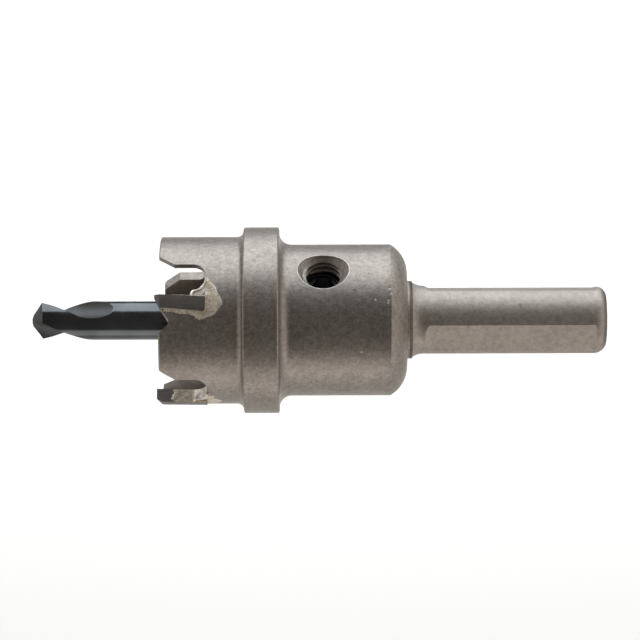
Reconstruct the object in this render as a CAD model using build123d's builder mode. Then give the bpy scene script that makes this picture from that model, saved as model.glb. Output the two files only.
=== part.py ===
from build123d import *

import os
from math import atan, cos, degrees, radians, sin, sqrt, tan

# Carbide-tipped hole cutter: a one-piece steel body (cup, depth flange, hub and three-flat shank), four
# brazed carbide tips, a pilot drill and the set screw that holds it.
#
# The tool's axis is X. The shank's end face is at X = 0 and the cutting edges are at negative X.
# Lengths are in millimetres. Angles about the axis are in degrees from straight up (+Z), where the set screw
# is, and grow the way the tool turns when it cuts, from +Z towards +Y.

# Shank, with three flats for a drill chuck
shank_diameter = 10.0
shank_length = 26.75
shank_end_radius = 1.9
shank_end_edge_angle = 23.25
shank_end_band_angle = 44.0
shank_flat_height = 4.47
shank_flat_angles = (-77.5, 42.5, 162.5)
shank_flat_runout = 1.1

# Neck and collar between the shank and the hub
neck_radius = 2.8
neck_turn = 36.18
collar_width = 0.75
collar_step = 0.16

# Hub, whose end is turned to a large radius
hub_diameter = 22.2
hub_length = 18.7
hub_end_radius = 4.8
hub_end_turn = 61.04
hub_fillet = 1.8

# Flange that stops the cut
flange_diameter = 27.3
flange_width = 5.2
flange_edge = 0.3

# Cup
cup_diameter = 24.5
cup_wall = 1.3
cup_length = 12.1
cup_depth = 12.7
cup_fillet = 1.0
cup_rim_edge = 0.3

# Teeth: each one's angle at its cutting corner, and the width of the gullet before it
cutting_diameter = 25.0
teeth = ((-23.3, 4.97), (78.0, 5.23), (162.3, 5.27), (248.0, 5.59))
tooth_lean = 4.5

# Gullets: the flat far side ends in a wide root and opens to the rim in a lead-in
gullet_depth = 6.8
gullet_far_root = 1.8
gullet_near_root = 0.7
gullet_lead_depth = 2.3
gullet_lead_angle = 34.0

# Notch in the rim behind each tip, measured from the rake plane
notch_depth = 1.7
notch_bottom = 3.85
notch_width = 5.5
notch_root = 0.6

# Carbide tips
tip_length = 7.3
tip_overhang = 0.57
tip_heel = 1.92
tip_end_relief = 27.0
tip_rake = 2.5
tip_seat_angle = 4.9
tip_inner_step = 0.5
tip_corner = 0.3
tip_chamfer_length = 0.75
tip_chamfer_depth = 0.42

# Braze: a thin layer between tip and seat, and a fillet in the gullet's near root
braze_gap = 0.18
braze_fillet_start = 4.87
braze_fillet_lip = 0.62
braze_fillet_height = 2.9
braze_fillet_sag = 0.45

# Pilot drill
drill_diameter = 5.7
drill_overhang = 19.04
drill_length = 51.0
drill_point_angle = 118.0
drill_lip_angle = 30.5
drill_relief = (-0.5, 0.9)
drill_web = 1.3
drill_flute_radius = 1.95
drill_flute_lead = 34.9
drill_flute_length = 9.5
drill_flute_runout = 2.9
drill_flute_end = 0.2
drill_flute_behind_lip = 45.0
drill_flat_depth = 0.4
drill_flat_length = 8.0
drill_clearance = 0.02
bore_spare_depth = 0.3

# Set screw, M6, with a flat point and a hexagon socket
screw_from_hub_end = 12.25
screw_diameter = 6.0
screw_length = 5.0
screw_clearance = 0.03
screw_point_diameter = 4.0
screw_socket_width = 3.0
screw_socket_depth = 2.4
screw_sink_diameter = 7.8
screw_sink_angle = 90.0

# Straight bands or sides that stand for each small round
facets = {"shank end": 1, "neck": 2, "hub end": 6, "hub fillet": 3, "cup fillet": 2, "drill flute": 10}

# Radii
shank_r = shank_diameter / 2
neck_end_r = shank_r + neck_radius * (1 - cos(radians(neck_turn)))
collar_r = neck_end_r + collar_step
hub_r = hub_diameter / 2
hub_face_r = hub_r - hub_end_radius * sin(radians(hub_end_turn))
flange_r = flange_diameter / 2
cup_r = cup_diameter / 2
cup_inner_r = cup_r - cup_wall
cutting_r = cutting_diameter / 2
tip_inner_r = cup_inner_r - tip_inner_step
drill_r = drill_diameter / 2
bore_r = drill_r + drill_clearance
screw_r = screw_diameter / 2

# Places along the axis, from the shank's end to the drill's point
shank_end_centre = -shank_end_radius * cos(radians(shank_end_edge_angle))
neck_start = -shank_length
neck_end = neck_start - neck_radius * sin(radians(neck_turn))
hub_end = neck_end - collar_width
hub_end_centre = hub_end - hub_end_radius
hub_start = hub_end - hub_length
flange_start = hub_start - flange_width
rim = flange_start - cup_length
cup_floor = rim + cup_depth
drill_tip = rim - drill_overhang
drill_end = drill_tip + drill_length
bore_end = drill_end + bore_spare_depth
screw_bottom = drill_r - drill_flat_depth
screw_x = hub_end - screw_from_hub_end

# Clear of the body on every side, and where the cuts through one side of the cup start
clearance = 2.0
clear_x = rim - tip_overhang - clearance
clear_r = flange_r + clearance
cut_start_r = cup_inner_r / 2


def outward(angle):
    """Direction square to the axis at an angle from straight up."""
    return Vector(0, sin(radians(angle)), cos(radians(angle)))


def side_plane(angle, height=0.0):
    """Plane facing outward at an angle; its x runs towards the shank and its y the way the tool turns."""
    return Plane(origin=outward(angle) * height, x_dir=(1, 0, 0), z_dir=outward(angle))


# Ways that a round's edge can face in a section, in degrees from +X towards outward
shank_side, outwards, cutting_side, inwards = 0, 90, 180, 270


def round_points(centre, radius, start, end, bands):
    """Points on a round about a centre, which divide its turn into straight bands."""
    turns = [radians(start + (end - start) * step / bands) for step in range(bands + 1)]
    return [(centre[0] + radius * cos(turn), centre[1] + radius * sin(turn)) for turn in turns]


def section_plane(angle=0.0):
    """Plane through the axis; its x runs along the axis and its y outward at an angle."""
    return Plane(origin=(0, 0, 0), x_dir=(1, 0, 0), z_dir=outward(angle + 90) * -1)


# Outline of a tip and its seat, in the tooth's plane, which stands square to the leaning rake face.
# Y is measured the way the tool turns, and the cutting corner lies on the cutting diameter.
rake_y = -cutting_r * sin(radians(tooth_lean))
tip_front = rim - tip_overhang
tip_back = tip_front + tip_length
heel_x = tip_front + tip_heel * tan(radians(tip_end_relief))
heel_y = rake_y - tip_heel
tip_top_y = rake_y - tip_length * tan(radians(tip_rake))
tip_bottom_y = heel_y - (tip_back - heel_x) * tan(radians(tip_seat_angle))
seat_front_x = heel_x + braze_gap * tan(radians(tip_end_relief))
seat_front_y = heel_y - braze_gap
seat_back = tip_back + braze_gap
seat_bottom_y = tip_bottom_y - braze_gap


def tip_outline():
    """Side of a carbide tip: a raked top, a sloping seat and a relieved cutting end."""
    with BuildSketch() as outline:
        with BuildLine():
            Polyline(
                (tip_front, rake_y),
                (tip_back, tip_top_y),
                (tip_back, tip_bottom_y),
                (heel_x, heel_y),
                close=True,
            )
        make_face()
        fillet(outline.vertices().group_by(Axis.X)[-1], radius=tip_corner)
    return outline.sketch


def seat_outline():
    """Pocket for the tip and the braze behind and below it."""
    with BuildSketch() as outline:
        with BuildLine():
            Polyline(
                (clear_x, rake_y),
                (seat_back, rake_y),
                (seat_back, seat_bottom_y),
                (seat_front_x, seat_front_y),
                (clear_x, seat_front_y),
                close=True,
            )
        make_face()
    return outline.sketch


def notch_outline():
    """Notch in the rim, which carries the tip's relief on into the body."""
    bottom = (rim + notch_depth, rake_y - notch_bottom)
    with BuildSketch() as outline:
        with BuildLine():
            Polyline(
                (clear_x, seat_front_y),
                (seat_front_x, seat_front_y),
                bottom,
                (rim, rake_y - notch_width),
                (clear_x, rake_y - notch_width),
                close=True,
            )
        make_face()
        fillet(outline.vertices().sort_by_distance(bottom)[0], radius=notch_root)
    return outline.sketch


def gullet_outline(width):
    """Gullet between the rake plane and the back of the tooth ahead."""
    far_y = rake_y + width
    lead_slope = tan(radians(gullet_lead_angle))
    bottom = rim + gullet_depth
    with BuildSketch() as outline:
        with BuildLine():
            Polyline(
                (clear_x, rake_y),
                (bottom, rake_y),
                (bottom, far_y),
                (rim + gullet_lead_depth, far_y),
                (clear_x, far_y + (rim + gullet_lead_depth - clear_x) * lead_slope),
                close=True,
            )
        make_face()
        fillet(outline.vertices().sort_by_distance((bottom, far_y))[0], radius=gullet_far_root)
        fillet(outline.vertices().sort_by_distance((bottom, rake_y))[0], radius=gullet_near_root)
    return outline.sketch


def braze_outline(width):
    """Braze in the seat and in the gullet's near root: all the space there that the tip leaves."""
    foot = (rim + braze_fillet_start, heel_y)
    lip = (rim + braze_fillet_start, rake_y + braze_fillet_lip)
    top = (rim + gullet_depth, rake_y + braze_fillet_height)
    middle = ((lip[0] + top[0]) / 2 + braze_fillet_sag, (lip[1] + top[1]) / 2 - braze_fillet_sag)
    outside_x = seat_back + gullet_depth
    outside_y = seat_bottom_y - gullet_depth
    with BuildSketch() as outline:
        with BuildLine():
            Polyline((heel_x, heel_y), (seat_front_x, seat_front_y))
            Polyline((seat_front_x, seat_front_y), (seat_front_x, outside_y), (outside_x, outside_y))
            Polyline((outside_x, outside_y), (outside_x, top[1]), top)
            ThreePointArc(top, middle, lip)
            Polyline(lip, foot, (heel_x, heel_y))
        make_face()
        with BuildSketch(mode=Mode.PRIVATE) as room:
            add(seat_outline())
            add(gullet_outline(width))
        add(room.sketch, mode=Mode.INTERSECT)
        add(tip_outline(), mode=Mode.SUBTRACT)
    return outline.sketch


# Rounds of the turned body, as bands. Each list runs the way the half section is drawn.
# The shank's end has one band inside the flats, and a true round where they cut it.
shank_end_band = round_points(
    (shank_end_centre, shank_r - shank_end_radius),
    shank_end_radius,
    shank_end_edge_angle,
    shank_end_band_angle,
    facets["shank end"],
)
neck_round = round_points(
    (neck_start, shank_r + neck_radius),
    neck_radius,
    inwards,
    inwards - neck_turn,
    facets["neck"],
)
hub_end_round = round_points(
    (hub_end_centre, hub_face_r),
    hub_end_radius,
    shank_side,
    shank_side + hub_end_turn,
    facets["hub end"],
)
hub_fillet_round = round_points(
    (hub_start + hub_fillet, hub_r + hub_fillet),
    hub_fillet,
    inwards,
    cutting_side,
    facets["hub fillet"],
)
cup_fillet_round = round_points(
    (flange_start - cup_fillet, cup_r + cup_fillet),
    cup_fillet,
    shank_side,
    -outwards,
    facets["cup fillet"],
)

# Half section of the turned body: its outside from the shank to the rim, then its inside to the bore
with BuildPart() as cutter_body:
    with BuildSketch(section_plane()):
        with BuildLine():
            Polyline((0, 0), *shank_end_band)
            RadiusArc(shank_end_band[-1], (shank_end_centre, shank_r), -shank_end_radius)
            Polyline((shank_end_centre, shank_r), *neck_round)
            Polyline(neck_round[-1], (neck_end, collar_r), (hub_end, collar_r), *hub_end_round)
            Polyline(hub_end_round[-1], *hub_fillet_round)
            Polyline(
                hub_fillet_round[-1],
                (hub_start, flange_r - flange_edge),
                (hub_start - flange_edge, flange_r),
                (flange_start + flange_edge, flange_r),
                (flange_start, flange_r - flange_edge),
                cup_fillet_round[0],
            )
            Polyline(
                *cup_fillet_round,
                (rim + cup_rim_edge, cup_r),
                (rim, cup_r - cup_rim_edge),
                (rim, cup_inner_r),
                (cup_floor, cup_inner_r),
                (cup_floor, bore_r),
                (bore_end, bore_r),
                (bore_end, 0),
                (0, 0),
            )
        make_face()
    revolve(axis=Axis.X)

    # Flats on the shank, each with a rounded run-out at the neck
    for angle in shank_flat_angles:
        with BuildSketch(section_plane(angle)):
            with BuildLine():
                Polyline(
                    (neck_start + shank_flat_runout, shank_flat_height),
                    (shank_r, shank_flat_height),
                    (shank_r, clear_r),
                    (neck_start, clear_r),
                    (neck_start, shank_flat_height + shank_flat_runout),
                )
                RadiusArc(
                    (neck_start, shank_flat_height + shank_flat_runout),
                    (neck_start + shank_flat_runout, shank_flat_height),
                    -shank_flat_runout,
                )
            make_face()
        extrude(amount=shank_r, both=True, mode=Mode.SUBTRACT)

    # Gullets, tip seats and notches, each cut through its own side of the cup
    for angle, width in teeth:
        with BuildSketch(side_plane(angle + tooth_lean, cut_start_r)):
            add(gullet_outline(width))
            add(seat_outline())
            add(notch_outline())
        extrude(amount=clear_r, mode=Mode.SUBTRACT)

    # Countersunk hole for the set screw, down into the drill's bore
    with Locations((screw_x, 0, hub_r)):
        CounterSinkHole(screw_r, screw_sink_diameter / 2, hub_r - bore_r / 2, screw_sink_angle)


def make_tip(angle):
    """One carbide tip, ground to the cutting diameter with its outer corner chamfered."""
    with BuildPart() as tip:
        with BuildSketch(side_plane(angle + tooth_lean, tip_inner_r)):
            add(tip_outline())
        extrude(amount=cutting_r)
        with BuildSketch(section_plane()):
            with BuildLine():
                Polyline(
                    (tip_front, 0),
                    (tip_back, 0),
                    (tip_back, cutting_r),
                    (tip_front + tip_chamfer_length, cutting_r),
                    (tip_front, cutting_r - tip_chamfer_depth),
                    close=True,
                )
            make_face()
        revolve(axis=Axis.X, mode=Mode.INTERSECT)
    return tip.part


def make_braze(angle, width):
    """Braze round one tip, flush with the cup's wall inside and outside."""
    with BuildPart() as braze:
        with BuildSketch(side_plane(angle + tooth_lean, cut_start_r)):
            add(braze_outline(width))
        extrude(amount=clear_r)
        with BuildSketch(section_plane()):
            with Locations(((rim + seat_back) / 2, (cup_inner_r + cup_r) / 2)):
                Rectangle(2 * cup_length, cup_wall)
        revolve(axis=Axis.X, mode=Mode.INTERSECT)
    return braze.part


def flute_plane(route, place):
    """Plane square to a flute's path at its start, 0, or its end, 1; its x points away from the axis."""
    point = route @ place
    return Plane(origin=point, x_dir=(0, point.Y, point.Z), z_dir=route % place)


# Pilot drill: two right-hand flutes that run out behind the point, and a flat under the set screw
with BuildPart() as pilot_drill:
    with BuildSketch(Plane.YZ.offset(drill_end)):
        Circle(drill_r)
    extrude(amount=-drill_length)

    # A point's surfaces each belong to a cone set off the axis, so that they fall away behind their lips
    point_slope = tan(radians(drill_point_angle / 2))
    relief_offset = sqrt(drill_relief[0] ** 2 + drill_relief[1] ** 2)
    apex = drill_tip - relief_offset / point_slope
    cone_length = drill_length + drill_overhang
    cone_end = apex + cone_length
    for lip_angle in (drill_lip_angle, drill_lip_angle + 180):
        offset_by = outward(lip_angle) * drill_relief[0] + outward(lip_angle + 90) * drill_relief[1]
        with BuildSketch(Plane(origin=offset_by, x_dir=(1, 0, 0), z_dir=(0, -1, 0))):
            with BuildLine():
                Polyline(
                    (apex, 0),
                    (cone_end, cone_length * point_slope),
                    (cone_end, 0),
                    close=True,
                )
            make_face()
        revolve(axis=Axis(offset_by, (1, 0, 0)), mode=Mode.INTERSECT)

    # Each flute starts ahead of the point, and its section shrinks to nothing where it leaves the drill
    runout_taper = degrees(atan((drill_flute_radius - drill_flute_end) / drill_flute_runout))
    lead_in = drill_r
    flute_path_r = drill_web / 2 + drill_flute_radius
    corner_x = drill_tip + drill_r / point_slope
    start_turn = 360 * (corner_x - drill_tip + lead_in) / drill_flute_lead
    for lip_angle in (drill_lip_angle, drill_lip_angle + 180):
        with BuildLine() as path:
            Helix(
                drill_flute_lead,
                drill_flute_length + lead_in,
                flute_path_r,
                center=(drill_tip - lead_in, 0, 0),
                direction=(1, 0, 0),
            )
        route = path.line.rotate(Axis.X, -(lip_angle + drill_flute_behind_lip + start_turn))
        with BuildSketch(flute_plane(route, 0)):
            RegularPolygon(drill_flute_radius, facets["drill flute"])
        sweep(path=route, is_frenet=True, mode=Mode.SUBTRACT)
        with BuildSketch(flute_plane(route, 1)):
            RegularPolygon(drill_flute_radius, facets["drill flute"])
        extrude(amount=drill_flute_runout, taper=runout_taper, mode=Mode.SUBTRACT)

    with BuildSketch(Plane.XY.offset(screw_bottom)):
        with Locations((screw_x, 0)):
            Rectangle(drill_flat_length, drill_diameter)
    extrude(amount=drill_r, mode=Mode.SUBTRACT)


# Set screw, turned about its own upright axis, then socketed
with BuildPart() as set_screw:
    top = screw_bottom + screw_length
    body_r = screw_r - screw_clearance
    point_r = screw_point_diameter / 2
    with BuildSketch(Plane(origin=(screw_x, 0, screw_bottom), x_dir=(1, 0, 0), z_dir=(0, -1, 0))):
        with BuildLine():
            Polyline(
                (0, 0),
                (point_r, 0),
                (body_r, body_r - point_r),
                (body_r, screw_length),
                (0, screw_length),
                close=True,
            )
        make_face()
    revolve(axis=Axis((screw_x, 0, 0), (0, 0, 1)))
    with BuildSketch(Plane.XY.offset(top)):
        with Locations((screw_x, 0)):
            RegularPolygon(radius=screw_socket_width / 2, side_count=6, major_radius=False)
    extrude(amount=-screw_socket_depth, mode=Mode.SUBTRACT)


os.makedirs("parts", exist_ok=True)

cutter_body.part.label = "cutter_body"
pilot_drill.part.label = "pilot_drill"
set_screw.part.label = "set_screw"
export_step(cutter_body.part, "parts/cutter_body.step")
export_step(pilot_drill.part, "parts/pilot_drill.step")
export_step(set_screw.part, "parts/set_screw.step")

for number, (angle, width) in enumerate(teeth, start=1):
    carbide_tip = make_tip(angle)
    carbide_tip.label = f"carbide_tip_{number}"
    export_step(carbide_tip, f"parts/carbide_tip_{number}.step")
    tip_braze = make_braze(angle, width)
    tip_braze.label = f"tip_braze_{number}"
    export_step(tip_braze, f"parts/tip_braze_{number}.step")
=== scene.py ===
from math import cos, pi, radians, sin, sqrt, tan

import bmesh
import bpy
import numpy as np
from mathutils import Matrix, Vector


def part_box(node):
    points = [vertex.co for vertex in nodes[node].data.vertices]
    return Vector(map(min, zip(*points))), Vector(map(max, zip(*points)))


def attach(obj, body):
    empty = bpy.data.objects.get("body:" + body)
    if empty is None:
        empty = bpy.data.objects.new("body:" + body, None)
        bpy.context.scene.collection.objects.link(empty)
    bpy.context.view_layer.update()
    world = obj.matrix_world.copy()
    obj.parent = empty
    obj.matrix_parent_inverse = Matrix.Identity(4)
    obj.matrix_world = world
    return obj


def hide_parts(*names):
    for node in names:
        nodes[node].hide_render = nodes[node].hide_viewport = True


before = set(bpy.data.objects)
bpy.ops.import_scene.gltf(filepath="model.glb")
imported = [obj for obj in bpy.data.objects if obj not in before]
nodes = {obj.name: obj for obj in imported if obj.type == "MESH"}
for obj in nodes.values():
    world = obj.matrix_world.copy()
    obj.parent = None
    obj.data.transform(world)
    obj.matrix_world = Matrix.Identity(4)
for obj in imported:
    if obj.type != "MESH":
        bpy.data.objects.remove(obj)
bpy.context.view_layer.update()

MM = 0.001

# Sizes in millimetres and degrees. X runs along the axis towards the shank's end, where it is 0.
shank_r = 5.0
shank_length = 26.75
shank_end_round = 1.9
shank_end_turn = 23.25
neck_round = 2.8
neck_turn = 36.18
hub_r = 11.1
hub_length = 18.7
nose_round = 4.8
nose_turn = 61.04
hub_fillet = 1.8
flange_length = 5.2
flange_fillet = 1.0
edge_round = 0.3
cup_r = 12.25
cup_inner_r = 10.95
cup_length = 12.1
cup_depth = 12.7
screw_from_hub_end = 12.25

# The same as radii and places along the axis, with those that the solids' boxes give
body_low, body_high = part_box("cutter_body")
drill_low, drill_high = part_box("pilot_drill")
rim_x = body_low.x / MM
flange_r = body_high.z / MM
drill_r = drill_high.y / MM
drill_tip_x = drill_low.x / MM
drill_end_x = drill_high.x / MM
cup_floor_x = rim_x + cup_depth
flange_start_x = rim_x + cup_length
hub_start_x = flange_start_x + flange_length
hub_end_x = hub_start_x + hub_length
hub_nose_x = hub_end_x - nose_round + nose_round * cos(radians(nose_turn))
hub_face_r = hub_r - nose_round * sin(radians(nose_turn))
neck_start_x = -shank_length
neck_end_x = neck_start_x - neck_round * sin(radians(neck_turn))
shank_end_x = -shank_end_round * cos(radians(shank_end_turn))
screw_x = hub_end_x - screw_from_hub_end
screw_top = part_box("set_screw")[1].z / MM


# ---------------------------------------------------------------- material nodes

def shader(name):
    """An empty node material, its Principled shader and its Object coordinates."""
    material = bpy.data.materials.new(name)
    material.use_nodes = True
    tree = material.node_tree
    surface = tree.nodes["Principled BSDF"]
    place = tree.nodes.new("ShaderNodeTexCoord")
    return material, tree, surface, place.outputs["Object"]


def noise(tree, vector, scale, detail=2.0, roughness=0.5, distortion=0.0):
    """Fractal noise whose features are about 1/scale metres across."""
    node = tree.nodes.new("ShaderNodeTexNoise")
    node.inputs["Scale"].default_value = scale
    node.inputs["Detail"].default_value = detail
    node.inputs["Roughness"].default_value = roughness
    node.inputs["Distortion"].default_value = distortion
    tree.links.new(vector, node.inputs["Vector"])
    return node.outputs["Fac"]


def ramp(tree, value, low, dark, high, light):
    """A colour that goes from dark, at a low value, to light, at a high one."""
    node = tree.nodes.new("ShaderNodeValToRGB")
    first, last = node.color_ramp.elements
    first.position, last.position = low, high
    first.color, last.color = (*dark, 1.0), (*light, 1.0)
    tree.links.new(value, node.inputs["Fac"])
    return node.outputs["Color"]


def ramp_of_three(tree, value, low, dark, half, middle, high, light):
    """A colour that goes from dark through middle to light."""
    colour = ramp(tree, value, low, dark, high, light)
    element = colour.node.color_ramp.elements.new(half)
    element.color = (*middle, 1.0)
    return colour


def remap(tree, value, low, high, new_low, new_high):
    """A value carried from one range to another and kept inside it."""
    node = tree.nodes.new("ShaderNodeMapRange")
    node.inputs["From Min"].default_value = low
    node.inputs["From Max"].default_value = high
    node.inputs["To Min"].default_value = new_low
    node.inputs["To Max"].default_value = new_high
    tree.links.new(value, node.inputs["Value"])
    return node.outputs["Result"]


def combine(tree, operation, first, second):
    """Two values put together by a Math node's operation."""
    node = tree.nodes.new("ShaderNodeMath")
    node.operation = operation
    tree.links.new(first, node.inputs[0])
    tree.links.new(second, node.inputs[1])
    return node.outputs[0]


def mix(tree, factor, first, second, blend="MIX"):
    """Two colours blended; factor is a number or a value."""
    node = tree.nodes.new("ShaderNodeMix")
    node.data_type = "RGBA"
    node.blend_type = blend
    factor_socket, first_socket, second_socket = node.inputs[0], node.inputs[6], node.inputs[7]
    if isinstance(factor, float):
        factor_socket.default_value = factor
    else:
        tree.links.new(factor, factor_socket)
    for socket, colour in ((first_socket, first), (second_socket, second)):
        if isinstance(colour, tuple):
            socket.default_value = (*colour, 1.0)
        else:
            tree.links.new(colour, socket)
    return node.outputs[2]


def multiply(tree, first, second):
    """Two colours multiplied."""
    return mix(tree, 1.0, first, second, "MULTIPLY")


def bump(tree, surface, height, distance, strength, under=None):
    """Surface relief from a value, over an earlier relief where one is given."""
    node = tree.nodes.new("ShaderNodeBump")
    node.inputs["Strength"].default_value = strength
    node.inputs["Distance"].default_value = distance
    tree.links.new(height, node.inputs["Height"])
    if under is not None:
        tree.links.new(under, node.inputs["Normal"])
    tree.links.new(node.outputs["Normal"], surface.inputs["Normal"])
    return node.outputs["Normal"]


def stretched(tree, vector, scale):
    """Coordinates scaled apart along each axis, for lines and grinding marks."""
    node = tree.nodes.new("ShaderNodeMapping")
    node.inputs["Scale"].default_value = scale
    tree.links.new(vector, node.inputs["Vector"])
    return node.outputs["Vector"]


def axis_place(tree, place):
    """Place along the tool's axis, in metres."""
    split = tree.nodes.new("ShaderNodeSeparateXYZ")
    tree.links.new(place, split.inputs[0])
    return split.outputs["X"]


def axis_distance(tree, place):
    """Distance from the tool's axis, in metres."""
    reach = tree.nodes.new("ShaderNodeVectorMath")
    reach.operation = "LENGTH"
    tree.links.new(stretched(tree, place, (0.0, 1.0, 1.0)), reach.inputs[0])
    return reach.outputs["Value"]


# ---------------------------------------------------------------- masks on the steel

def inside_cup(tree, place):
    """1 on the cup's inner wall and floor, and 0 elsewhere, with a short soft step between."""
    wall_low, wall_high = (cup_inner_r + 0.05) * MM, (cup_inner_r + 0.15) * MM
    floor_low, floor_high = (cup_floor_x + 0.15) * MM, (cup_floor_x + 0.35) * MM
    within = remap(tree, axis_distance(tree, place), wall_low, wall_high, 1.0, 0.0)
    ahead = remap(tree, axis_place(tree, place), floor_low, floor_high, 1.0, 0.0)
    return combine(tree, "MULTIPLY", within, ahead)


def collar_edge_painted_shade(tree, x):
    """1 along the collar's rear edge, where painted shade stands for the dark flank of its step, and 0 on
    both sides of it.
    """
    edge = neck_end_x * MM
    before = remap(tree, x, edge - 0.50 * MM, edge - 0.40 * MM, 0.0, 1.0)
    after = remap(tree, x, edge - 0.06 * MM, edge + 0.10 * MM, 1.0, 0.0)
    return combine(tree, "MULTIPLY", before, after)


# Nicks on the hub, as (millimetres before its end, degrees up from the front)
hub_nicks = ((2.71, 73.1), (2.46, 69.3), (2.88, 63.8), (2.95, 62.2), (4.74, 64.7), (6.76, 23.7))


def nicks(tree, place):
    """1 in the middle of each small nick, falling to 0 a quarter of a millimetre away."""
    marks = None
    for before_end, up in hub_nicks:
        turn = radians(up)
        away = tree.nodes.new("ShaderNodeVectorMath")
        away.operation = "DISTANCE"
        tree.links.new(place, away.inputs[0])
        middle = Vector((hub_end_x - before_end, -hub_r * cos(turn), hub_r * sin(turn)))
        away.inputs[1].default_value = middle * MM
        mark = remap(tree, away.outputs["Value"], 0.08 * MM, 0.24 * MM, 1.0, 0.0)
        marks = mark if marks is None else combine(tree, "MAXIMUM", mark, marks)
    return marks


# ---------------------------------------------------------------- materials

white = (1.0, 1.0, 1.0)


def blasted_steel():
    """Steel bead-blasted to a warm matt grey, with fine grain, faint blotches and small pits. It is darker in
    the cup and towards the shank's end, has painted shade along the collar's rear edge, is a little paler and
    duller behind the hub, and is bright in the nicks."""
    material, tree, surface, place = shader("blasted_steel")
    grain = noise(tree, place, 3200.0, 3.0, 0.65)
    blotch = noise(tree, place, 170.0, 3.0, 0.55)
    x = axis_place(tree, place)
    colour = ramp(tree, grain, 0.28, (0.335, 0.297, 0.264), 0.72, (0.535, 0.475, 0.424))
    colour = multiply(tree, colour, ramp(tree, blotch, 0.3, (0.88, 0.875, 0.87), 0.7, white))
    mottle = noise(tree, place, 1300.0)
    colour = multiply(tree, colour, ramp(tree, mottle, 0.32, (0.80, 0.79, 0.78), 0.68, white))
    pits = noise(tree, place, 900.0)
    colour = multiply(tree, colour, ramp(tree, pits, 0.23, (0.62, 0.60, 0.58), 0.29, white))
    colour = mix(tree, inside_cup(tree, place), colour, (0.62, 0.59, 0.55), "MULTIPLY")
    # Painted shade: a dark line along the collar's rear edge
    colour = mix(tree, collar_edge_painted_shade(tree, x), colour, (0.36, 0.32, 0.29), "MULTIPLY")
    # Darker towards the shank's end
    end_darkening = remap(tree, x, -0.75 * MM, -0.22 * MM, 0.0, 1.0)
    colour = mix(tree, end_darkening, colour, (0.36, 0.35, 0.345), "MULTIPLY")
    behind_hub = remap(tree, x, (hub_end_x - 0.5) * MM, (hub_end_x + 1.0) * MM, 0.0, 1.0)
    colour = mix(tree, behind_hub, colour, (0.085, 0.076, 0.068), "ADD")
    marks = nicks(tree, place)
    colour = mix(tree, marks, colour, (0.60, 0.56, 0.52))
    tree.links.new(colour, surface.inputs["Base Color"])
    surface.inputs["Metallic"].default_value = 1.0
    duller = remap(tree, x, (hub_nose_x - 1.0) * MM, (hub_nose_x + 1.0) * MM, 0.0, 0.10)
    rough = combine(tree, "ADD", remap(tree, grain, 0.3, 0.7, 0.40, 0.50), duller)
    tree.links.new(rough, surface.inputs["Roughness"])
    dent = bump(tree, surface, marks, -0.06 * MM, 0.6)
    relief = bump(tree, surface, grain, 0.04 * MM, 0.35, dent)
    bump(tree, surface, noise(tree, place, 700.0), 0.06 * MM, 0.5, relief)
    return material


def worn_steel_and_painted_highlight():
    """Steel rubbed bright on an edge, and paler than the blasted steel, which paints in the highlight the
    edge catches.
    """
    material, tree, surface, place = shader("worn_steel_and_painted_highlight")
    grain = noise(tree, place, 2600.0)
    colour = ramp(tree, grain, 0.3, (0.50, 0.46, 0.42), 0.7, (0.74, 0.70, 0.65))
    tree.links.new(colour, surface.inputs["Base Color"])
    surface.inputs["Metallic"].default_value = 0.7
    surface.inputs["Roughness"].default_value = 0.42
    bump(tree, surface, grain, 0.03 * MM, 0.3)
    return material


def ground_carbide():
    """Sintered carbide, dark grey, with fine grinding lines along the cutting edge."""
    material, tree, surface, place = shader("ground_carbide")
    lines = noise(tree, stretched(tree, place, (600.0, 9000.0, 9000.0)), 1.0)
    grain = noise(tree, place, 5200.0)
    colour = ramp(tree, lines, 0.3, (0.215, 0.190, 0.172), 0.7, (0.265, 0.235, 0.213))
    colour = multiply(tree, colour, ramp(tree, grain, 0.3, (0.75, 0.75, 0.75), 0.7, white))
    tree.links.new(colour, surface.inputs["Base Color"])
    surface.inputs["Metallic"].default_value = 0.9
    tree.links.new(remap(tree, lines, 0.3, 0.7, 0.42, 0.50), surface.inputs["Roughness"])
    bump(tree, surface, lines, 0.01 * MM, 0.3)
    return material


def silver_braze(name, dark, middle, bright, hollow, metal):
    """Silver braze as it froze: pale tan, finely grainy, with brighter runs and darker hollows."""
    material, tree, surface, place = shader(name)
    lumps = noise(tree, place, 900.0, 3.0, 0.55, 0.3)
    grain = noise(tree, place, 4200.0, 3.0, 0.75)
    colour = ramp_of_three(tree, lumps, 0.32, dark, 0.5, middle, 0.68, bright)
    colour = multiply(tree, colour, ramp(tree, grain, 0.32, hollow, 0.6, white))
    tree.links.new(colour, surface.inputs["Base Color"])
    surface.inputs["Metallic"].default_value = metal
    tree.links.new(remap(tree, lumps, 0.3, 0.7, 0.58, 0.36), surface.inputs["Roughness"])
    relief = bump(tree, surface, lumps, 0.08 * MM, 0.5)
    bump(tree, surface, grain, 0.04 * MM, 0.7, relief)
    return material


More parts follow.
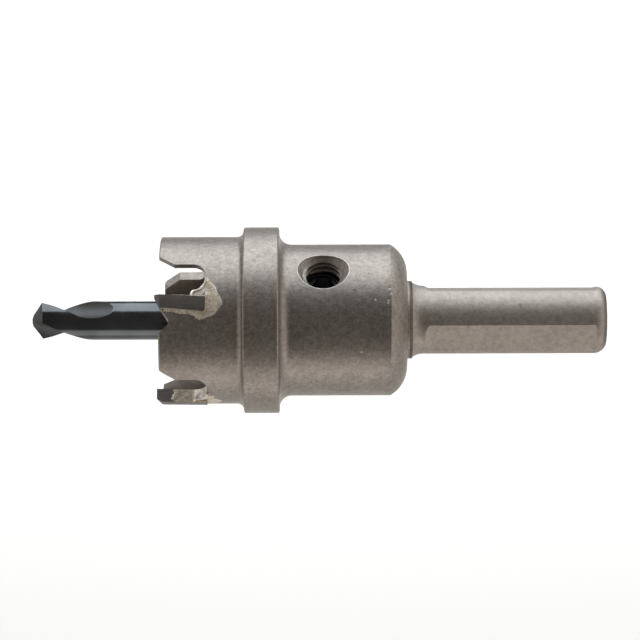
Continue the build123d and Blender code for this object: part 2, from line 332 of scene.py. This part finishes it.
def black_oxide():
    """Ground steel turned black: glossy, with fine grinding rings on the outside and a duller cut inside the
    drill's flutes."""
    material, tree, surface, place = shader("black_oxide")
    rings = noise(tree, stretched(tree, place, (7000.0, 300.0, 300.0)), 1.0)
    smear = noise(tree, place, 260.0, 3.0)
    outside = remap(tree, axis_distance(tree, place), 2.76 * MM, 2.83 * MM, 0.0, 1.0)
    colour = ramp(tree, smear, 0.3, (0.110, 0.117, 0.122), 0.7, (0.165, 0.173, 0.178))
    colour = mix(tree, outside, (0.10, 0.10, 0.098), colour)
    tree.links.new(colour, surface.inputs["Base Color"])
    surface.inputs["Metallic"].default_value = 1.0
    dull = tree.nodes.new("ShaderNodeMix")
    tree.links.new(outside, dull.inputs["Factor"])
    dull.inputs["A"].default_value = 0.46
    tree.links.new(remap(tree, smear, 0.3, 0.7, 0.15, 0.24), dull.inputs["B"])
    tree.links.new(dull.outputs["Result"], surface.inputs["Roughness"])
    bump(tree, surface, rings, 0.008 * MM, 0.35)
    return material


STEEL = blasted_steel()
WORN_STEEL_AND_HIGHLIGHT = worn_steel_and_painted_highlight()
CARBIDE = ground_carbide()
BRAZE = silver_braze(
    "silver_braze", dark=(0.66, 0.55, 0.42), middle=(0.92, 0.80, 0.65), bright=(1.0, 0.96, 0.87),
    hollow=(0.50, 0.45, 0.39), metal=0.4,
)
# A paler, more metallic copy of the braze: partly the braze's own bright silver, partly a painted highlight
# that brings the corner beads and tip braze up to the light they catch
PALE_BRAZE_AND_PAINTED_HIGHLIGHT = silver_braze(
    "pale_braze_and_painted_highlight", dark=(0.88, 0.79, 0.68), middle=(0.98, 0.92, 0.84), bright=(1.0, 0.98, 0.94),
    hollow=(0.74, 0.70, 0.64), metal=0.75,
)
BLACK = black_oxide()


def dress(piece, material):
    """Gives a piece one material."""
    piece.data.materials.clear()
    piece.data.materials.append(material)


for number in range(1, 5):
    dress(nodes[f"carbide_tip_{number}"], CARBIDE)
    dress(nodes[f"tip_braze_{number}"], PALE_BRAZE_AND_PAINTED_HIGHLIGHT)
dress(nodes["pilot_drill"], BLACK)
dress(nodes["set_screw"], BLACK)


# ---------------------------------------------------------------- pieces

def add_piece(name, mesh, material, replaced=None):
    """Puts a mesh in the scene as a piece of the tool, in place of a solid where one is named."""
    piece = bpy.data.objects.new(name, mesh)
    bpy.context.scene.collection.objects.link(piece)
    dress(piece, material)
    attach(piece, "root")
    if replaced:
        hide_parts(replaced)
    return piece


def smooth(mesh, sharp_angle=None):
    """Shades a mesh smooth, with edges sharper than an angle, in degrees, left sharp."""
    mesh.polygons.foreach_set("use_smooth", np.ones(len(mesh.polygons), bool))
    if sharp_angle:
        mesh.set_sharp_from_angle(angle=radians(sharp_angle))


def grid_mesh(name, grid):
    """A mesh from a grid of points (rows, columns, 3) in millimetres, whose last column joins the first."""
    rows, columns, _ = grid.shape
    index = np.arange(rows * columns).reshape(rows, columns)
    right = np.roll(index, -1, axis=1)
    quads = np.stack([index[:-1], right[:-1], right[1:], index[1:]], axis=-1).reshape(-1, 4)
    mesh = bpy.data.meshes.new(name)
    mesh.from_pydata((grid.reshape(-1, 3) * MM).tolist(), [], quads.tolist())
    mesh.update()
    return mesh


def tube_piece(name, grid, material):
    """A closed piece from a grid whose columns run round it: its first and last rows are capped."""
    mesh = grid_mesh(name, grid)
    smooth(mesh)
    rows, columns, _ = grid.shape
    work = bmesh.new()
    work.from_mesh(mesh)
    work.verts.ensure_lookup_table()
    for first in (0, (rows - 1) * columns):
        work.faces.new([work.verts[first + column] for column in range(columns)])
    bmesh.ops.recalc_face_normals(work, faces=work.faces)
    work.to_mesh(mesh)
    work.free()
    mesh.set_sharp_from_angle(angle=radians(35))
    return add_piece(name, mesh, material)


# ---------------------------------------------------------------- turned body

slack = 0.01


def rounds():
    """The body's rounds, each as (low x, high x, centre, radius, side, floor, cuts). Side is 1 where the
    round lies further from the axis than its centre and -1 where it lies nearer, floor is the lowest radius
    from the axis that belongs to it, and cuts is the number of new points across each of its bands."""
    near_hub, near_cup = hub_start_x - edge_round, flange_start_x + edge_round
    flange_edge_r = flange_r - edge_round
    return (
        (shank_end_x, 0.0, (shank_end_x, shank_r - shank_end_round), shank_end_round, 1, 3.0, 4),
        (neck_end_x, neck_start_x, (neck_start_x, shank_r + neck_round), neck_round, -1, 4.9, 3),
        (hub_nose_x, hub_end_x, (hub_end_x - nose_round, hub_face_r), nose_round, 1, hub_face_r - 0.1, 2),
        (hub_start_x, hub_start_x + hub_fillet, (hub_start_x + hub_fillet, hub_r + hub_fillet),
         hub_fillet, -1, 11.0, 5),
        (flange_start_x - flange_fillet, flange_start_x,
         (flange_start_x - flange_fillet, cup_r + flange_fillet), flange_fillet, -1, 12.0, 7),
        (near_hub, hub_start_x, (near_hub, flange_edge_r), edge_round, 1, 13.2, 3),
        (flange_start_x, near_cup, (near_cup, flange_edge_r), edge_round, 1, 13.2, 3),
        (rim_x, rim_x + edge_round, (rim_x + edge_round, cup_r - edge_round), edge_round, 1, 11.8, 3),
    )


def edges_across(work, low, high, centre, floor_r):
    """Edges that cross a round's bands: both ends lie in the round's stretch, and seen from its centre they
    stand more than 4 degrees apart."""
    work.verts.index_update()
    places = np.array([vertex.co[:] for vertex in work.verts]) / MM
    ends = places[np.array([[vertex.index for vertex in edge.verts] for edge in work.edges])]
    x, r = ends[..., 0], np.hypot(ends[..., 1], ends[..., 2])
    inside = (x >= low - slack) & (x <= high + slack) & (r >= floor_r)
    turn = np.arctan2(r - centre[1], x - centre[0])
    apart = np.abs((turn[:, 0] - turn[:, 1] + pi) % (2 * pi) - pi)
    chosen = inside.all(axis=1) & (apart > radians(4))
    return [edge for edge, crosses in zip(work.edges, chosen) if crosses]


def turned_places(mesh):
    """The mesh's points in millimetres, with those on a round carried out from its centre to its circle."""
    places = np.zeros(len(mesh.vertices) * 3)
    mesh.vertices.foreach_get("co", places)
    places = places.reshape(-1, 3) / MM
    radius = np.hypot(places[:, 1], places[:, 2])
    for low, high, centre, round_r, side, floor_r, _ in rounds():
        along, out = places[:, 0] - centre[0], radius - centre[1]
        reach = np.maximum(np.hypot(along, out), 1e-9)
        belongs = (places[:, 0] > low + slack / 2) & (places[:, 0] < high - slack / 2)
        belongs &= (radius > floor_r) & (out * side > 0) & (np.abs(reach - round_r) < 0.3 * round_r)
        share = np.where(belongs, round_r / reach, 1.0)
        new_radius = centre[1] + out * share
        places[:, 1:] *= (new_radius / np.maximum(radius, 1e-9))[:, None]
        places[:, 0] = centre[0] + along * share
        radius = new_radius
    return places


def turned_normals(mesh, places):
    """Normals at the corners of turned faces: out from a round's centre on a round, and square to the axis on
    a cylinder. Zero, which leaves the mesh's own normal, on every other face."""
    corner_vertex = np.zeros(len(mesh.loops), int)
    mesh.loops.foreach_get("vertex_index", corner_vertex)
    face_normal = np.zeros(len(mesh.polygons) * 3)
    mesh.polygons.foreach_get("normal", face_normal)
    face_normal = face_normal.reshape(-1, 3).repeat(3, axis=0)
    corner = places[corner_vertex]
    corner_r = np.hypot(corner[:, 1], corner[:, 2])
    out = corner[:, 1:] / np.maximum(corner_r, 1e-9)[:, None]
    middle = corner.reshape(-1, 3, 3).mean(axis=1).repeat(3, axis=0)
    middle_r = np.hypot(middle[:, 1], middle[:, 2])
    middle_out = middle[:, 1:] / np.maximum(middle_r, 1e-9)[:, None]
    outward = (face_normal[:, 1:] * middle_out).sum(axis=1)
    sideways = np.abs(face_normal[:, 1] * middle_out[:, 1] - face_normal[:, 2] * middle_out[:, 0])
    turned = sideways < 0.06
    normals = np.zeros_like(corner)
    for wall_r, side in ((shank_r, 1), (hub_r, 1), (flange_r, 1), (cup_r, 1), (cup_inner_r, -1)):
        on_wall = turned & (outward * side > 0.995) & (np.abs(corner_r - wall_r) < slack)
        normals[on_wall, 1:] = out[on_wall] * side
    for low, high, centre, round_r, side, floor_r, _ in rounds():
        along, above = corner[:, 0] - centre[0], corner_r - centre[1]
        on_round = turned & (middle[:, 0] > low) & (middle[:, 0] < high) & (middle_r > floor_r)
        on_round &= np.abs(np.hypot(along, above) - round_r) < 2 * slack
        faced = side * np.stack([along, above * out[:, 0], above * out[:, 1]], axis=-1) / round_r
        on_round &= (faced * face_normal).sum(axis=1) > 0.9
        normals[on_round] = faced[on_round]
    return normals


def turned_body():
    """The steel body with its rounds turned true. A copy of the solid's mesh is divided across each round's
    bands, each new point is carried out from the round's centre to its circle, and every corner of a turned
    face takes the normal that the round, or the plain cylinder, has there."""
    mesh = nodes["cutter_body"].data.copy()
    work = bmesh.new()
    work.from_mesh(mesh)
    bmesh.ops.remove_doubles(work, verts=work.verts, dist=2e-6)
    for low, high, centre, _, _, floor_r, cuts in rounds():
        across = edges_across(work, low, high, centre, floor_r)
        bmesh.ops.subdivide_edges(work, edges=across, cuts=cuts)
    bmesh.ops.triangulate(work, faces=work.faces)
    work.to_mesh(mesh)
    work.free()
    places = turned_places(mesh)
    mesh.vertices.foreach_set("co", (places * MM).ravel())
    mesh.update()
    smooth(mesh, sharp_angle=12)
    mesh.normals_split_custom_set(turned_normals(mesh, places).tolist())
    add_piece("steel_body", mesh, STEEL, replaced="cutter_body")


turned_body()


# ---------------------------------------------------------------- set screw's hole

thread_pitch = 1.0
thread_wall_r = 3.0
thread_crest_r = 2.56
countersink_r = 3.9
countersink_depth = 0.9


def hole_thread():
    """The thread in the set screw's hole: a 60 degree ridge whose section, closed on itself, is carried up a
    helix on the hole's wall, from the screw until the countersink's cone has cut it away."""
    rise = thread_wall_r - thread_crest_r
    half_crest, half_root, sunk, half_sunk = 0.13, 0.42, 0.12, 0.46
    end_turn, points_a_turn, start_angle = 0.125, 96, radians(150)
    cone_z = hub_r - countersink_depth
    bottom, top = screw_top + 0.2, cone_z + 0.3
    turns = (top - bottom) / thread_pitch
    along = np.linspace(0.0, turns, int(turns * points_a_turn) + 1)[:, None]
    # The section as distances in from the wall and heights, with its back buried in the steel
    inward = np.array([-sunk, 0.0, rise, rise, 0.0, -sunk])[None, :]
    height = np.array([-half_sunk, -half_root, -half_crest, half_crest, half_root, half_sunk])[None, :]
    # The ridge grows out of the wall over an eighth of a turn and dies away in the cone
    grown = np.clip(np.minimum(along, turns - along) / end_turn, 0.03, 1.0)
    radius = thread_wall_r - np.where(inward > 0, inward * grown, inward + 0 * along)
    angle = 2 * pi * (along - turns) + start_angle
    under_cone = cone_z + 0.02 + (radius - thread_wall_r) + 0.02 * height
    level = np.minimum(bottom + along * thread_pitch + height, under_cone)
    grid = np.stack([screw_x + radius * np.cos(angle), -radius * np.sin(angle), level], axis=-1)
    tube_piece("hole_thread", grid, STEEL)


def hole_edge():
    """The bright edge of the countersink, worn and with a painted highlight in its paler steel: a thin tube
    laid along the saddle curve where its cone meets the hub, found by repeating cone radius = 3.9 - (hub
    radius - height), and sunk until a low bead stands out."""
    bead_r, sunk = 0.13, 0.10
    angle = np.linspace(0.0, 2 * pi, 161)[:-1, None]
    reach = np.full_like(angle, countersink_r)
    for _ in range(30):
        height = np.sqrt(hub_r**2 - (reach * np.sin(angle)) ** 2)
        reach = countersink_r - (hub_r - height)
    around = np.linspace(0.0, 2 * pi, 13)[:-1][None, :]
    out = reach - sunk + bead_r * np.cos(around)
    level = height - sunk + bead_r * np.sin(around)
    grid = np.stack([screw_x + out * np.cos(angle), out * np.sin(angle), level], axis=-1)
    mesh = grid_mesh("hole_edge", np.concatenate([grid, grid[:1]]))
    smooth(mesh)
    work = bmesh.new()
    work.from_mesh(mesh)
    bmesh.ops.remove_doubles(work, verts=work.verts, dist=1e-7)
    bmesh.ops.recalc_face_normals(work, faces=work.faces)
    work.to_mesh(mesh)
    work.free()
    # The paler steel paints in the rim's highlight as well as its wear
    add_piece("hole_edge", mesh, WORN_STEEL_AND_HIGHLIGHT)


hole_thread()
hole_edge()


# ---------------------------------------------------------------- braze films

tooth_angles = (-23.3, 78.0, 162.3, 248.0)
cutting_r = 12.5
tooth_lean = 4.5
rake_back = 2.5
tip_overhang = 0.57
film_middle_r = 11.62


def wandering(rng, *places):
    """A smooth value between about -1 and 1 that wanders with places: a sum of six waves of random length,
    direction and phase."""
    total = 0.0
    for _ in range(6):
        phase = rng.uniform(0.0, 2 * pi)
        total = total + np.sin(phase + sum(rng.uniform(-7.0, 7.0) * place for place in places))
    return total / 3.0


def line_through(keys, count):
    """A line of points spaced evenly, by number of key, along the straight stretches between keys."""
    steps = np.linspace(0.0, len(keys) - 1.0, count)
    order = np.arange(len(keys))
    return steps, np.stack([np.interp(steps, order, keys[:, axis]) for axis in (0, 1)], axis=-1)


def smoothed(line, width):
    """A line of points, each replaced by the mean of an odd number of neighbours under a bell curve."""
    kernel = np.hanning(width) / np.hanning(width).sum()
    padded = np.pad(line, ((width // 2, width // 2), (0, 0)), "edge")
    return np.stack([np.convolve(padded[:, axis], kernel, "valid") for axis in (0, 1)], axis=-1)


def in_tooth(angle, along, radial, above):
    """Points of a tooth given by place behind the rim, distance from the axis along the tooth's own radius,
    and height above the plane of its rake face, which falls back from the cutting edge."""
    level = above - cutting_r * sin(radians(tooth_lean)) - (along + tip_overhang) * tan(radians(rake_back))
    turn = radians(angle + tooth_lean)
    radial = radial + 0.0 * along
    y = radial * sin(turn) + level * cos(turn)
    z = radial * cos(turn) - level * sin(turn)
    return np.stack([rim_x + along, y, z], axis=-1)


def film(name, top, bottom, material):
    """A film from two grids of the same shape, its top and its buried underside, joined round the edge."""
    tube_piece(name, np.concatenate([top, bottom[:, ::-1]], axis=1), material)


def outer_film(number, angle, rng):
    """Braze that ran out over the cup round a tip's back end and foot. A strip is stretched between the
    tip's outline and a wandering outer line, both given as places behind the rim and distances round the
    cup from the rake face, and stands out from the cup by a height that falls from the tip to that line."""
    near = np.array([(6.70, 2.35), (6.78, 1.6), (6.80, 0.75), (6.80, -0.35), (6.80, -1.4),
                     (6.70, -2.3), (5.6, -2.38), (4.0, -2.25), (2.2, -2.08), (0.75, -1.95)])
    far = np.array([(6.95, 2.6), (7.9, 2.15), (8.45, 0.66), (9.1, -0.5), (9.47, -1.35),
                    (8.2, -3.0), (6.5, -3.72), (4.6, -3.1), (2.3, -2.75), (0.8, -2.35)])
    reach = 1.0 if number == 1 else rng.uniform(0.55, 1.05, len(near))[:, None]
    steps, near_line = line_through(near, 121)
    _, far_line = line_through(near + (far - near) * reach, 121)
    far_line = smoothed(far_line, 19)
    far_line += 0.10 * wandering(rng, steps)[:, None] + 0.04 * wandering(rng, 4.0 * steps)[:, None]
    across = np.linspace(0.0, 1.0, 17)[None, :, None]
    flat = near_line[:, None] * (1.0 - across) + far_line[:, None] * across
    along, round_cup, share = flat[..., 0], flat[..., 1], across[..., 0]
    beside_tip = np.clip((steps - 2.2) / 0.8, 0.0, 1.0)[:, None]
    height = 0.06 + 0.12 * beside_tip * (1.0 - share) ** 2
    height = height + 0.03 * wandering(rng, 0.6 * along, 0.6 * round_cup)
    height = height + 0.006 * wandering(rng, 2.0 * along, 2.0 * round_cup)
    height = np.maximum(height, 0.02) * np.sqrt(np.maximum(1.0 - share**4, 0.0)) - 0.03 * share**8
    turn = radians(angle) + round_cup / cup_r

    def on_cup(radius):
        return np.stack([rim_x + along, radius * np.sin(turn), radius * np.cos(turn)], axis=-1)

    film(f"outer_braze_{number}", on_cup(cup_r + height), on_cup(cup_r - 0.08 + 0.0 * height), BRAZE)


def rake_film(number, angle, rng):
    """Braze that wet the back part of a tip's rake face: a sheet over the face's plane, from a wandering
    front line to the tip's back end."""
    front_x, back_x, sunk = 1.75, 6.72, 0.04
    radial = np.linspace(10.5, 12.44, 25)[None, :]
    steps = np.linspace(0.0, 1.0, 45)[:, None]
    front = front_x + 0.28 * wandering(rng, 1.5 * radial) + 0.10 * wandering(rng, 5.0 * radial)
    along = front + (back_x - front) * steps
    height = 0.05 + 0.025 * wandering(rng, 0.6 * along, 0.6 * radial)
    height = np.maximum(height, 0.015) * np.clip(steps / 0.06, 0.0, 1.0) + 0.08 * steps**3
    top, bottom = in_tooth(angle, along, radial, height), in_tooth(angle, along, radial, -sunk)
    film(f"rake_braze_{number}", top, bottom, BRAZE)


def corner_film(number, angle, rng):
    """The run of braze that fills the corner behind a tip, from the rake face up the back of the gullet. Its
    section is a smooth line through set places (behind the rim, above the rake face); along the cup's radius
    the line is lifted by a wandering height that falls away at both sides."""
    keys = np.array([(4.72, -0.05), (4.80, 0.50), (4.98, 0.86), (5.55, 1.02), (6.10, 1.28), (6.48, 1.85),
                     (6.70, 2.45), (6.86, 2.96)])
    half_width, sunk = 0.84, 0.22
    steps, line = line_through(keys, 57)
    line = smoothed(line, 11)
    slope = np.gradient(line, axis=0)
    slope /= np.hypot(slope[:, 0], slope[:, 1])[:, None]
    side = np.linspace(-1.0, 1.0, 23)[:, None]
    lift = 0.10 + 0.07 * wandering(rng, 0.35 * steps[None, :], 0.5 * side)
    lift = lift * np.sqrt(np.maximum(1.0 - side**6, 0.0)) - 0.05 * side**6

    def over_line(rise):
        along = line[None, :, 0] - rise * slope[None, :, 1]
        above = line[None, :, 1] + rise * slope[None, :, 0]
        return in_tooth(angle, along, film_middle_r + half_width * side, above)

    # The corner bead takes the paler braze, whose colour partly paints in its highlight
    film(f"corner_braze_{number}", over_line(lift), over_line(0.0 * lift - sunk), PALE_BRAZE_AND_PAINTED_HIGHLIGHT)


for number, angle in enumerate(tooth_angles, start=1):
    rng = np.random.default_rng(40 + number)
    outer_film(number, angle, rng)
    rake_film(number, angle, rng)
    corner_film(number, angle, rng)


# ---------------------------------------------------------------- pilot drill

drill_half_point = radians(59)
drill_lip = 30.5
drill_cone_offset = (-0.5, 0.9)
drill_flute_r = 3.106
drill_web_gap = 0.65 + drill_flute_r
drill_flute_half = radians(54.0)
drill_flute_at_slowing = 27.3
drill_twist = 10.0
drill_slows_from, drill_slowing = drill_tip_x + 6.84, 4.4
drill_runout_from, drill_runout_to = drill_tip_x + 6.8, drill_tip_x + 12.1
drill_corner_x = drill_tip_x + drill_r / tan(drill_half_point)
screw_flat_half, screw_flat_depth = 4.0, 0.4


def flute_angle(x):
    """Where the first flute's centre stands, in degrees from straight up: an even twist of one turn in 36 mm
    behind the point, which slows down where the flute leaves the drill."""
    even = np.minimum(x, drill_slows_from) - drill_slows_from
    late = np.clip(x, drill_slows_from, drill_runout_to) - drill_slows_from
    slowed = drill_slowing * (1.0 - np.exp(-late / drill_slowing))
    return drill_flute_at_slowing - drill_twist * (even + slowed)


def drill_section(x, part):
    """Points of the drill's section at places along the axis. Part runs from 0 to 4: a flute, a land, the
    other flute and the other land. A flute is the near side of a circle, whose centre moves out in the
    run-out, and its two corners close on each other there; behind it the same columns spread again over the
    plain round."""
    leaving = np.clip((x - drill_runout_from) / (drill_runout_to - drill_runout_from), 0.0, 1.0)
    reach = drill_web_gap + (drill_r + drill_flute_r - drill_web_gap) * leaving**1.35
    meeting = (drill_r**2 + reach**2 - drill_flute_r**2) / (2 * drill_r * reach)
    corner = np.arccos(np.clip(meeting, -1.0, 1.0))
    spread = np.clip((x - drill_runout_to) / 3.0, 0.0, 1.0) * drill_flute_half
    corner = np.maximum(np.maximum(corner, spread), radians(0.4))
    half = np.floor(part / 2.0)
    share = part - 2.0 * half
    across = drill_r * np.sin(corner) * (1.0 - 2.0 * np.clip(share, 0.0, 1.0))
    on_round = np.sqrt(np.maximum(drill_r**2 - across**2, 0.0))
    in_flute = reach - np.sqrt(np.maximum(drill_flute_r**2 - across**2, 0.0))
    in_flute = np.where(np.abs(across) < drill_flute_r, in_flute, drill_r)
    land = corner + (np.clip(share, 1.0, 2.0) - 1.0) * (pi - 2.0 * corner)
    sideways = np.where(share < 1.0, across, -drill_r * np.sin(land))
    ahead = np.where(share < 1.0, np.minimum(on_round, in_flute), drill_r * np.cos(land))
    turn = np.radians(flute_angle(x)) + pi * half
    y = ahead * np.sin(turn) + sideways * np.cos(turn)
    z = ahead * np.cos(turn) - sideways * np.sin(turn)
    return y, z


def point_height(y, z):
    """Place along the axis of the drill's point: the higher of two cones, each set off the axis so that it
    falls away behind its lip."""
    slope = tan(drill_half_point)
    beside, behind = drill_cone_offset
    apex = drill_tip_x - sqrt(beside**2 + behind**2) / slope
    cones = []
    for lip in (radians(drill_lip), radians(drill_lip + 180)):
        centre_y = beside * sin(lip) + behind * cos(lip)
        centre_z = beside * cos(lip) - behind * sin(lip)
        cones.append(apex + np.hypot(y - centre_y, z - centre_z) / slope)
    return np.maximum(*cones)


flute_columns, land_columns = 36, 28


def drill_side():
    """The drill's side and back as a grid of rows along the axis and columns round the section. The first row
    lies where the section meets the point's cones, found by repeating x = cone(section(x))."""
    share = np.concatenate(
        [np.arange(flute_columns) / flute_columns, 1.0 + np.arange(land_columns) / land_columns]
    )
    part = np.concatenate([share, 2.0 + share])[None, :]
    front = np.full_like(part, drill_corner_x)
    for _ in range(40):
        front = point_height(*drill_section(front, part))
    near_end, spacing = drill_tip_x + 4.0, 0.08
    point_rows = front + (near_end - front) * np.linspace(0.0, 1.0, 25)[:, None]
    flat_low, flat_high = screw_x - screw_flat_half, screw_x + screw_flat_half
    places = np.concatenate([
        np.arange(near_end + spacing, drill_runout_to + 0.1, spacing),
        np.linspace(drill_runout_to + 0.15, drill_runout_to + 3.1, 12),
        [flat_low - 0.002, flat_low, flat_high, flat_high + 0.002, drill_end_x],
    ])
    x = np.concatenate([point_rows, np.repeat(places[:, None], part.size, axis=1)])
    y, z = drill_section(x, part)
    under_screw = (x >= flat_low) & (x <= flat_high)
    z = np.where(under_screw, np.minimum(z, drill_r - screw_flat_depth), z)
    return np.stack([x, y, z], axis=-1)


def drill_point(side):
    """The drill's point: the height of its cones over chords across the web, each from a column of one half
    of the side's first row to its mirror in the other."""
    columns = side.shape[1]
    first = np.arange(columns // 2 + 1)
    middle = flute_columns // 2 - columns // 4
    lead = side[0, (middle + first) % columns, 1:]
    trail = side[0, (middle - first) % columns, 1:]
    share = np.linspace(0.0, 1.0, 25)[None, :, None]
    flat = lead[:, None] * (1.0 - share) + trail[:, None] * share
    height = point_height(flat[..., 0], flat[..., 1])
    return np.concatenate([height[..., None], flat], axis=-1)


def smooth_drill():
    """The pilot drill: its side and back as one closed mesh, with the point's grid sewn to its first row."""
    side = drill_side()
    point = drill_point(side)
    rows, columns = side.shape[:2]
    index = np.arange(rows * columns).reshape(rows, columns)
    right = np.roll(index, -1, axis=1)
    faces = np.stack([index[:-1], right[:-1], right[1:], index[1:]], axis=-1).reshape(-1, 4).tolist()
    tip = rows * columns + np.arange(point.shape[0] * point.shape[1]).reshape(point.shape[:2])
    tip_faces = np.stack([tip[:-1, :-1], tip[1:, :-1], tip[1:, 1:], tip[:-1, 1:]], axis=-1)
    faces += tip_faces.reshape(-1, 4).tolist()
    faces.append(index[-1].tolist())
    vertices = np.concatenate([side.reshape(-1, 3), point.reshape(-1, 3)]) * MM
    mesh = bpy.data.meshes.new("smooth_drill")
    mesh.from_pydata(vertices.tolist(), [], faces)
    work = bmesh.new()
    work.from_mesh(mesh)
    bmesh.ops.remove_doubles(work, verts=work.verts, dist=1e-6)
    bmesh.ops.dissolve_degenerate(work, edges=work.edges, dist=1e-7)
    bmesh.ops.recalc_face_normals(work, faces=work.faces)
    work.to_mesh(mesh)
    work.free()
    smooth(mesh, sharp_angle=28)
    add_piece("smooth_drill", mesh, BLACK, replaced="pilot_drill")


smooth_drill()


# ---------------------------------------------------------------- floor, light and camera

tool_middle = Vector((-41.9, 0.0, 0.0))
floor_z = -300.0
floor_half = 4.0


def floor():
    """Plain pale floor of matt paint, which glows a little so that the tool throws only a faint shadow."""
    corners = [(-1, -1), (1, -1), (1, 1), (-1, 1)]
    mesh = bpy.data.meshes.new("floor")
    places = [(x * floor_half, y * floor_half, floor_z * MM) for x, y in corners]
    mesh.from_pydata(places, [], [(0, 1, 2, 3)])
    piece = bpy.data.objects.new("floor", mesh)
    bpy.context.scene.collection.objects.link(piece)
    material, _, surface, _ = shader("pale_floor")
    surface.inputs["Base Color"].default_value = (0.62, 0.61, 0.60, 1.0)
    surface.inputs["Roughness"].default_value = 0.9
    surface.inputs["Emission Color"].default_value = (1.0, 1.0, 1.0, 1.0)
    surface.inputs["Emission Strength"].default_value = 0.02
    dress(piece, material)


def soft_light(name, way, distance, width, height, power, colour, aim=tool_middle):
    """A soft box that faces a point, the tool's middle unless one is given, from a direction given as a
    vector. Distance, width and height are in metres."""
    light = bpy.data.lights.new(name, "AREA")
    light.shape = "RECTANGLE"
    light.size = width
    light.size_y = height
    light.energy = power
    light.color = colour
    lamp = bpy.data.objects.new(name, light)
    lamp.location = aim * MM + Vector(way).normalized() * distance
    lamp.rotation_euler = (aim * MM - lamp.location).to_track_quat("-Z", "Y").to_euler()
    bpy.context.scene.collection.objects.link(lamp)


def from_front(elevation):
    """The direction square to the axis that stands so many degrees up from the front."""
    return Vector((0.0, -cos(radians(elevation)), sin(radians(elevation))))


def lights():
    """A large cool lamp above and behind, a low strip in front, one lamp over the floor behind the tool, a
    warm lamp at each end, and a faint warm glow all round."""
    warm = (1.0, 0.96, 0.92)
    soft_light("back_top_light", from_front(140.0), distance=0.7, width=1.6, height=0.95, power=9.3,
               colour=(0.87, 0.94, 1.0))
    soft_light("front_low_light", from_front(-31.0), distance=0.28, width=0.9, height=0.20, power=0.42,
               colour=warm)
    soft_light("floor_light", (0.0, 0.1, 1.0), distance=0.22, width=0.7, height=0.34, power=1.35,
               colour=(1.0, 0.98, 0.95), aim=Vector((tool_middle.x, 310.0, floor_z)))
    soft_light("shank_side_light", (1.0, -0.15, 0.17), distance=0.6, width=1.0, height=0.66, power=1.32,
               colour=warm)
    soft_light("cutter_side_light", (-1.0, -0.15, 0.17), distance=0.6, width=1.0, height=0.66, power=0.92,
               colour=warm)
    world = bpy.data.worlds.new("studio")
    world.use_nodes = True
    glow = world.node_tree.nodes["Background"]
    glow.inputs["Color"].default_value = (1.0, 0.95, 0.9, 1.0)
    glow.inputs["Strength"].default_value = 0.118
    bpy.context.scene.world = world
    bpy.context.scene.view_settings.view_transform = "Standard"


def camera():
    """Camera above and in front of the tool, looking down at it square to its axis."""
    elevation, distance, roll = 49.0, 0.473, radians(-0.17)
    lens = bpy.data.cameras.new("camera")
    lens.lens = 181.0
    lens.sensor_width = 36.0
    lens.clip_start = 0.01
    view = bpy.data.objects.new("camera", lens)
    view.location = tool_middle * MM + from_front(elevation) * distance
    turn = (tool_middle * MM - view.location).to_track_quat("-Z", "Y").to_matrix().to_4x4()
    view.rotation_euler = (turn @ Matrix.Rotation(roll, 4, "Z")).to_euler()
    bpy.context.scene.collection.objects.link(view)
    bpy.context.scene.camera = view


floor()
lights()
camera()
